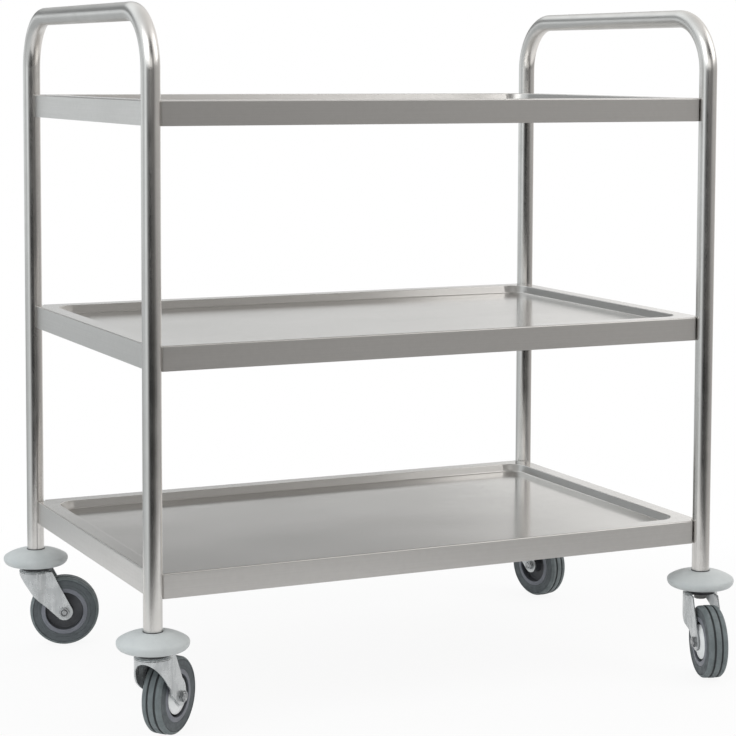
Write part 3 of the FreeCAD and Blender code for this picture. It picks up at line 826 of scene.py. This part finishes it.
@dataclass
class Fork:
    """The pressed fork: round crown, half-round front skirt and two legs. Sizes in millimetres."""

    trail: float = 42.0
    axle_height: float = 51.0
    crown_radius: float = 24.5
    half_width: float = 19.5
    plate: float = 2.5
    jog_start: float = 2.0
    jog_end: float = 16.0
    crown_top: float = 115.14
    crown_thickness: float = 3.0
    rim_depth: float = 2.0
    edge_radius: float = 4.0
    cup_radius: float = 20.0
    back_angles: Range = (42.0, 57.0)
    drop: float = 5.6
    knee_rise: float = 25.0
    knee_reach: float = 3.0
    end_radius: float = 12.5
    eye_radius: float = 7.1
    lip: float = 0.7
    lip_limit: float = 0.98
    lip_support: float = 1.5
    lip_points: int = 6
    plan_steps: tuple[int, int, int] = (37, 17, 45)

    @property
    def crown_foot(self) -> float:
        """Height of the crown's underside."""
        return self.crown_top - self.crown_thickness

    def plan(self) -> tuple[np.ndarray, np.ndarray]:
        """The wall's outer line seen from above and its outward direction.

        A half circle in front, then on each side a smooth step in and a straight leg, whose
        points lie at its start plus its length times the sine of an even angle.

        Returns:
            Points (n, 2) and unit outward directions (n, 2) in millimetres.
        """
        tip = self.trail + self.end_radius
        arc_steps, jog_steps, leg_steps = self.plan_steps
        arc = arc_points(0, 0, self.crown_radius, np.linspace(math.pi, math.pi / 2, arc_steps))
        x = np.linspace(self.jog_start, self.jog_end, jog_steps)[1:]
        share = (x - self.jog_start) / (self.jog_end - self.jog_start)
        fall = (self.crown_radius - self.half_width) * share**2 * (3 - 2 * share)
        step = np.stack([x, self.crown_radius - fall], axis=1)
        ease = np.linspace(0, math.pi / 2, leg_steps)[1:]
        leg_x = self.jog_end + (tip - self.jog_end) * np.sin(ease)
        leg = np.stack([leg_x, np.full(len(ease), self.half_width)], axis=1)
        right = np.concatenate([arc, [[self.jog_start, self.crown_radius]], step, leg])
        left = right[1:][::-1] * [1, -1]
        points = np.concatenate([left, right])
        along = np.gradient(points, axis=0)
        outward = np.stack([-along[:, 1], along[:, 0]], axis=1)
        outward /= np.linalg.norm(outward, axis=1, keepdims=True)
        return points, outward

    def tangent_spot(self, x: float, z: float, turn: int) -> Range:
        """Where a line from (x, z) touches the leg's round end.

        Args:
            x: distance of the line's start behind the stem.
            z: its height.
            turn: 1 for the lower side of the leg, -1 for the upper.

        Returns:
            Distance behind the stem and height of the touching point.
        """
        dx, dz = x - self.trail, z - self.axle_height
        angle = math.atan2(dz, dx) + turn * math.acos(self.end_radius / math.hypot(dx, dz))
        across, up = self.end_radius * math.cos(angle), self.end_radius * math.sin(angle)
        return self.trail + across, self.axle_height + up

    def heights(self, x: np.ndarray) -> tuple[np.ndarray, np.ndarray]:
        """The wall's lower and upper edge at each distance behind the stem.

        The lower edge slopes from the arch down to the knee, then to the tangent of the
        round end and round it. The upper edge is the crown's underside, then the sloping rear
        edge and the round end, which is the axle height +- sqrt(r^2 - (x - trail)^2).

        Args:
            x: distances behind the stem in millimetres.

        Returns:
            Lower and upper heights in millimetres.
        """
        rear_x = self.trail - self.end_radius - self.plate
        rear_z = arch_z = self.crown_foot - self.drop
        knee_z = self.axle_height + self.knee_rise
        front_spot = self.tangent_spot(-self.knee_reach, knee_z, 1)
        rear_spot = self.tangent_spot(rear_x, rear_z, -1)
        lean = (rear_x - rear_spot[0]) / (rear_z - rear_spot[1])
        top_x = rear_x + (self.crown_foot - rear_z) * lean
        round_end = np.sqrt(np.maximum(self.end_radius**2 - (x - self.trail) ** 2, 0))
        low = np.interp(x, [-self.crown_radius, -self.knee_reach, front_spot[0]],
                        [arch_z, knee_z, front_spot[1]])
        low = np.where(x > front_spot[0], self.axle_height - round_end, low)
        high = np.interp(x, [top_x, rear_spot[0]], [self.crown_foot, rear_spot[1]])
        high = np.where(x > rear_spot[0], self.axle_height + round_end, high)
        return low, high

    def wall(self) -> np.ndarray:
        """The skirt and legs as rings round the plate, one ring for each plan point.

        A ring is a rounded rectangle between the two edges, as thick as the plate: its
        corners are quarter circles of the lip radius.

        Returns:
            Grid of points in metres.
        """
        points, outward = self.plan()
        low, high = (edge[:, None] for edge in self.heights(points[:, 0]))
        lip = np.minimum(self.lip, (high - low) / 2 * self.lip_limit)
        thick = self.plate
        q = np.linspace(0, math.pi / 2, self.lip_points)[None]
        s, c = 1 - np.sin(q), 1 - np.cos(q)
        spare = np.minimum(self.lip_support * lip, (high - low) / 2)
        near, far = 0 * lip, 0 * lip + thick
        depth = [lip * c, thick - lip * s, far, far, thick - lip * c, lip * s, near, near]
        height = [low + lip * s, low + lip * c, low + spare, high - spare,
                  high - lip * s, high - lip * c, high - spare, low + spare]
        depth, height = np.concatenate(depth, axis=1), np.concatenate(height, axis=1)
        x = points[:, :1] - outward[:, :1] * depth
        y = points[:, 1:] - outward[:, 1:] * depth
        return np.stack([x, y, height], axis=-1) * MM

    def crown(self) -> np.ndarray:
        """The crown, cut back to its cup between the legs behind the stem.

        The section is a plate with a rounded shoulder and a short rim, turned about the stem.
        At an angle t from straight behind, no radius is more than cup + (crown - cup) * s and
        no height less than the underside less rim * s, where s is a smooth step of t.

        Returns:
            Grid of points in metres, a row for each point of the section.
        """
        rim = self.crown_radius + 0.05
        inner = self.crown_radius - self.plate
        foot = self.crown_foot
        grid = revolved(rounded_outline([
            (self.eye_radius, foot, 0.2), (inner, foot, 0.5), (inner, foot - self.rim_depth, 0.5),
            (rim, foot - self.rim_depth, 0.6), (rim, self.crown_top, self.edge_radius),
            (self.eye_radius, self.crown_top, 0.2),
        ]), turns=144)
        x, y, z = np.moveaxis(grid, -1, 0)
        start, end = np.radians(self.back_angles)
        share = np.clip((np.abs(np.arctan2(y, x)) - start) / (end - start), 0, 1)
        share = share**2 * (3 - 2 * share)
        limit = (self.cup_radius + (rim - self.cup_radius) * share) * MM
        kept = np.minimum(1, limit / np.hypot(x, y))
        z = np.maximum(z, (foot - self.rim_depth * share) * MM)
        return np.stack([x * kept, y * kept, z], axis=-1)

    def seal(self) -> np.ndarray:
        """Section of the near-black ring that paints shade round the crown's cup, under the race's
        skirt.

        Returns:
            Closed outline in metres.
        """
        inner, outer = self.cup_radius - 0.1, self.cup_radius + 0.9
        foot, top = self.crown_foot + 0.15, self.crown_top + 0.35
        return rounded_outline([(inner, foot, 0.2), (outer, foot, 0.3),
                                (outer, top, 0.3), (inner, top, 0.2)])


@dataclass
class Castor:
    """One swivel castor under a leg: fork, wheel and guard at its heading."""

    place: str
    heading: float
    guard_side: int

    def build(self) -> list[bpy.types.Object]:
        """Makes the castor's smooth pieces and lets them stand for their nodes.

        Returns:
            The pieces.
        """
        x, y = middle_of(f"kingpin_{self.place}")
        heading = math.radians(self.heading)
        fork, wheel = Fork(), Wheel()
        trail, height = fork.trail * MM, fork.axle_height * MM
        made = []
        for name, outline, side, finish, slot, turns in (
            ("tyre", wheel.tyre(), 1, Finish.TYRE, "tyre_rubber", 144),
            ("wheel_hub", wheel.hub(), 1, Finish.HUB, "hub_plastic", 96),
            ("thread_guard", wheel.guard(), self.guard_side, Finish.GUARD, "zinc_plate", 96),
        ):
            turned = revolved(outline, turns)
            grid = placed(laid_on_axle(turned, trail, height, side), heading, x, y)
            node = f"{name}_{self.place}"
            piece = piece_from_grid(f"{node}_turned", grid, True, finish, turning_marks(turned))
            made.append(put_on(piece, f"wheel_{self.place}", node))
        node = f"fork_{self.place}"
        for name, shape, closed, finish, slot, stands_for in (
            ("legs", fork.wall(), False, Finish.ZINC, "zinc_plate", node),
            ("crown", fork.crown(), True, Finish.ZINC, "zinc_plate", node),
            # painted shade: a near-black ring round the cup where the crown is cut back
            ("seal", revolved(fork.seal()), True, Finish.SHADOW_BLACK, "tyre_rubber", ""),
        ):
            grid = placed(shape, heading, x, y)
            piece = piece_from_grid(f"{node}_{name}", grid, closed, finish)
            made.append(put_on(piece, f"castor_{self.place}", stands_for))
        return made


@dataclass
class KeptSolids:
    """The CAD nodes that stay, each with its finish."""

    places: tuple[str, ...] = ("front_left", "front_right", "rear_left", "rear_right")

    def dress(self) -> int:
        """Gives every kept node its material.

        Returns:
            How many nodes were dressed.
        """
        named = {f"{level}_{part}": Finish.SHEET
                 for level in ("top", "middle", "bottom") for part in ("tray", "channel")}
        for node in ("corner_bolts", "saddle_washers", "rivet_nuts", "stem_bolts", "stem_sockets"):
            named[node] = Finish.FASTENER
        # the upper race's near-black paints the shade between bumper and crown
        fittings = {"upper_race": Finish.SHADOW_BLACK, "kingpin": Finish.ZINC,
                    "ball_ring": Finish.BEARING, "axle_bolt": Finish.NUT,
                    "axle_nut": Finish.NUT, "axle_sleeve": Finish.BEARING}
        for place in self.places:
            named.update({f"{part}_{place}": finish for part, finish in fittings.items()})
        for node, finish in named.items():
            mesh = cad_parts[node].data
            mesh.materials.clear()
            mesh.materials.append(finish.material())
        return len(named)


# The studio: brightness at bearings in degrees from the camera's side, positive to the right


LOW_LEVELS = {
    -180: 0.7, -150: 0.6, -130: 0.5, -100: 0.65, -50: 0.85, -34: 0.5, -18: 0.15, 4: 0.08,
    22: 0.12, 36: 0.3, 46: 0.62, 52: 0.85, 60: 1.35, 90: 1.1, 140: 1.1, 180: 0.85,
}
BELOW_LEVELS = {
    -180: 0.84, -150: 0.72, -135: 0.84, -114: 0.88, -95: 0.74, -80: 0.6, -70: 0.8, -62: 1.15,
    -55: 1.1, -47: 0.68, -36: 0.2, -24: 0.05, -6: 0.02, 4: 0.02, 14: 0.03, 24: 0.04,
    34: 0.045, 50: 0.06, 60: 0.09, 70: 0.18, 84: 0.32, 100: 0.4, 120: 0.5, 140: 0.62,
    156: 1.0, 170: 1.1, 180: 0.88,
}
EYE_LEVELS = {
    -180: 0.77, -170: 0.70, -150: 0.78, -135: 1.0, -114: 0.98, -95: 0.78, -80: 0.6, -70: 0.8,
    -62: 1.2, -54: 1.2, -46: 0.79, -35: 0.32, -23: 0.09, -8: 0.03, 4: 0.07, 14: 0.1,
    24: 0.14, 34: 0.17, 46: 0.24, 58: 0.44, 70: 0.52, 84: 0.55, 110: 0.56, 140: 0.68,
    156: 1.1, 170: 1.03, 178: 0.77, 180: 0.77,
}
HIGH_LEVELS = {
    -180: 0.18, -168: 0.22, -154: 0.22, -125: 0.2, -100: 0.6, -60: 1.1, -40: 1.25, -20: 1.35,
    10: 1.3, 24: 1.05, 34: 0.4, 46: 0.1, 50: 0.5, 54: 1.1, 66: 1.2, 120: 0.95, 150: 1.0,
    171: 0.95, 178: 0.2, 180: 0.18,
}
TOP_LEVELS = {
    -180: 1.0, -130: 1.3, -60: 1.0, -10: 0.8, 10: 0.3, 24: 0.03, 46: 0.03, 50: 0.5, 54: 1.1,
    66: 1.2, 120: 1.0, 180: 1.0,
}


@dataclass
class Studio:
    """Camera, pale floor, sky and lamps, as the photograph has them. Sizes in metres.

    The ranges from low_to_below to top_to_ceiling are heights on the unit sphere between
    which one ring of the sky gives way to the next. The shifts raise them towards the sides
    that are named alike.
    """

    eye: Spot = (-1.32378, -2.83327, 0.86644)
    yaw: float = 25.0132
    pitch: float = 4.6006
    roll: float = 0.2035
    focal_pixels: float = 2179.98
    image_pixels: float = 736.0
    axis_row: float = 240.0
    floor_radius: float = 1.15
    floor_height: float = -0.0004
    floor_pale: Colour = (0.86, 0.86, 0.86)
    floor_dull: Colour = (0.84, 0.84, 0.84)
    floor_tooth: Layer = Layer((60.0,) * 3, detail=3.0)
    floor_white: float = 0.91
    floor_fade: Range = (0.55, 0.97)
    floor_in_metal: float = 0.7
    low_to_below: Range = (-0.28, -0.18)
    below_to_eye: Range = (-0.12, -0.04)
    band: Range = (0.13, 0.18)
    eye_to_high: Range = (0.18, 0.23)
    high_to_top: Range = (0.34, 0.46)
    top_to_ceiling: Range = (0.72, 0.95)
    band_above: float = 0.5
    ceiling: float = 0.9
    left_shift: float = 0.17
    behind_left_shift: float = 0.1
    front_shift: float = 0.12
    left_side: Range = (0.2, 0.8)
    behind_left_side: Range = (1.14, 1.3)
    front_side: Range = (0.4, 0.8)
    cool_to_warm: Range = (-0.9, 0.5)
    cool: Colour = (0.935, 0.98, 1.0)
    warm: Colour = (1.0, 0.985, 0.965)

    def camera(self) -> None:
        """Places the camera, which turns by its yaw, then its pitch, then its roll."""
        yaw, pitch, roll = (math.radians(v) for v in (self.yaw, self.pitch, self.roll))
        data = bpy.data.cameras.new("photograph_view")
        data.sensor_fit = "HORIZONTAL"
        data.sensor_width = 36.0
        data.lens = self.focal_pixels / self.image_pixels * data.sensor_width
        data.shift_y = (self.axis_row - self.image_pixels / 2) / self.image_pixels
        data.clip_end = 50.0
        made = linked(data)
        made.matrix_world = (
            Matrix.Translation(self.eye) @ Matrix.Rotation(-yaw, 4, "Z")
            @ Matrix.Rotation(math.pi / 2 - pitch, 4, "X") @ Matrix.Rotation(roll, 4, "Z"))
        bpy.context.scene.camera = made

    def floor(self) -> None:
        """A round pale floor, white to the camera and mostly so in metal, that takes a soft shadow.

        Its rim is the middle + radius (cos t, sin t). Towards the rim it turns wholly white.
        """
        t = np.linspace(0, 2 * math.pi, 96, endpoint=False)
        x, y, _ = (np.array(cad_low) + np.array(cad_high)) / 2
        rim = np.column_stack([arc_points(x, y, self.floor_radius, t),
                               np.full(len(t), self.floor_height)])
        mesh = bpy.data.meshes.new("pale_floor")
        mesh.from_pydata(rim.tolist(), [], [list(range(len(t)))])
        material, bench = new_material("pale_floor")
        seen, mirrored, through = (
            bench.node("ShaderNodeLightPath", output=name)
            for name in ("Is Camera Ray", "Is Glossy Ray", "Is Transmission Ray"))
        paper = bench.mix(self.floor_tooth.noise(bench), self.floor_pale, self.floor_dull)
        reach = bench.node("ShaderNodeVectorMath", {"operation": "LENGTH"},
                           {0: bench.coordinates()}, "Value")
        fade = reach.step(*(self.floor_radius * part for part in self.floor_fade))
        white = self.floor_white + (1 - self.floor_white) * fade
        share = (seen + self.floor_in_metal * (mirrored + through)) * white
        matt = bench.node("ShaderNodeBsdfDiffuse", None, {"Color": paper})
        glow = bench.plain_light("ShaderNodeEmission")
        shown = bench.node("ShaderNodeMixShader", None, {0: share, 1: matt, 2: glow})
        bench.node("ShaderNodeOutputMaterial", None, {"Surface": shown})
        mesh.materials.append(material)
        linked(mesh)

    def ring(self, bench: Bench, share: Wire, levels: dict[int, float]) -> Wire:
        """The brightness round one height, where share is the bearing's share of the full turn."""
        stops = [(degrees / 360 + 0.5, level) for degrees, level in levels.items()]
        return bench.node("ShaderNodeValToRGB", {"stops": stops}, {0: share})

    def sky(self) -> None:
        """White for the camera; for everything else, bright sheets all round and a dark side.

        The brightness of a direction depends on its bearing and its height: one ring of levels
        below, one just under eye height, one at it, one above it and one higher up blend into
        each other, then into the ceiling. The one at eye height is brighter in its upper band.
        """
        world = bpy.data.worlds.new("studio")
        world.use_nodes = True
        bpy.context.scene.world = world
        bench = Bench(world.node_tree)
        x, y, z = bench.axes(bench.coordinates("Generated"))
        bearing = math.atan2(self.eye[1], self.eye[0])
        ahead = x * math.cos(bearing) + y * math.sin(bearing)
        aside = y * math.cos(bearing) - x * math.sin(bearing)
        share = aside.arctangent(ahead) * (0.5 / math.pi) + 0.5
        low, below, middle, high, top = (
            self.ring(bench, share, levels)
            for levels in (LOW_LEVELS, BELOW_LEVELS, EYE_LEVELS, HIGH_LEVELS, TOP_LEVELS))
        left = (aside * -1.0).step(*self.left_side)
        behind_left = (aside * -1.0 - ahead).step(*self.behind_left_side)
        before = ahead.step(*self.front_side)
        level = low + (z - self.left_shift * left).step(*self.low_to_below) * (below - low)
        level = level + z.step(*self.below_to_eye) * (middle - level)
        level = level * (1.0 + self.band_above * z.step(*self.band))
        raised = z + self.behind_left_shift * behind_left + self.front_shift * before
        level = level + raised.step(*self.eye_to_high) * (high - level)
        level = level + z.step(*self.high_to_top) * (top - level)
        level = level - z.step(*self.top_to_ceiling) * (level - self.ceiling)
        tint = bench.mix(aside.step(*self.cool_to_warm), self.cool, self.warm)
        studio = bench.node("ShaderNodeBackground", None, {"Color": tint, "Strength": level})
        white = bench.plain_light("ShaderNodeBackground")
        seen = bench.node("ShaderNodeLightPath", output="Is Camera Ray")
        sky = bench.node("ShaderNodeMixShader", None, {0: seen, 1: studio, 2: white})
        bench.node("ShaderNodeOutputWorld", None, {"Surface": sky})

    def lamp(self, name: str, at: Spot, towards: Spot, size: Range, power: float) -> None:
        """One soft area lamp.

        Args:
            name: the lamp's name.
            at: its place.
            towards: the point it faces.
            size: its two sides.
            power: its power in watts.
        """
        data = bpy.data.lights.new(name, "AREA")
        data.shape = "RECTANGLE"
        data.size, data.size_y = size
        data.energy = power
        turn = (Vector(at) - Vector(towards)).to_track_quat("Z", "Y")
        linked(data).matrix_world = Matrix.Translation(at) @ turn.to_matrix().to_4x4()

    def build(self) -> None:
        """Makes camera, floor, sky and lamps, and sets the plain view transform."""
        bpy.context.scene.view_settings.view_transform = "Standard"
        self.camera()
        self.floor()
        self.sky()
        self.lamp("key_left", (-2.4, -1.6, 2.6), (0.0, 0.0, 0.4), (2.6, 2.2), 28.0)
        self.lamp("fill_right", (2.4, -1.2, 2.4), (0.0, 0.0, 0.4), (2.2, 2.0), 15.0)


def main() -> None:
    """Builds studio, frames, bumpers and castors in turn, and dresses the kept solids."""
    logging.basicConfig(level=logging.INFO, format="%(name)s: %(message)s")
    Studio().build()
    log.info("studio: camera, floor, sky and lamps")
    for node in ("left_frame", "right_frame"):
        log.info("piece: %s", EndFrame(node).build().name)
    castors = (Castor("front_left", 42.0, -1), Castor("front_right", -106.0, -1),
               Castor("rear_left", -18.0, 1), Castor("rear_right", -78.0, 1))
    for castor in castors:
        log.info("piece: %s", Bumper(f"bumper_{castor.place}").build().name)
        for piece in castor.build():
            log.info("piece: %s", piece.name)
    log.info("kept solids dressed: %d", KeptSolids().dress())


if __name__ == "__main__":
    main()
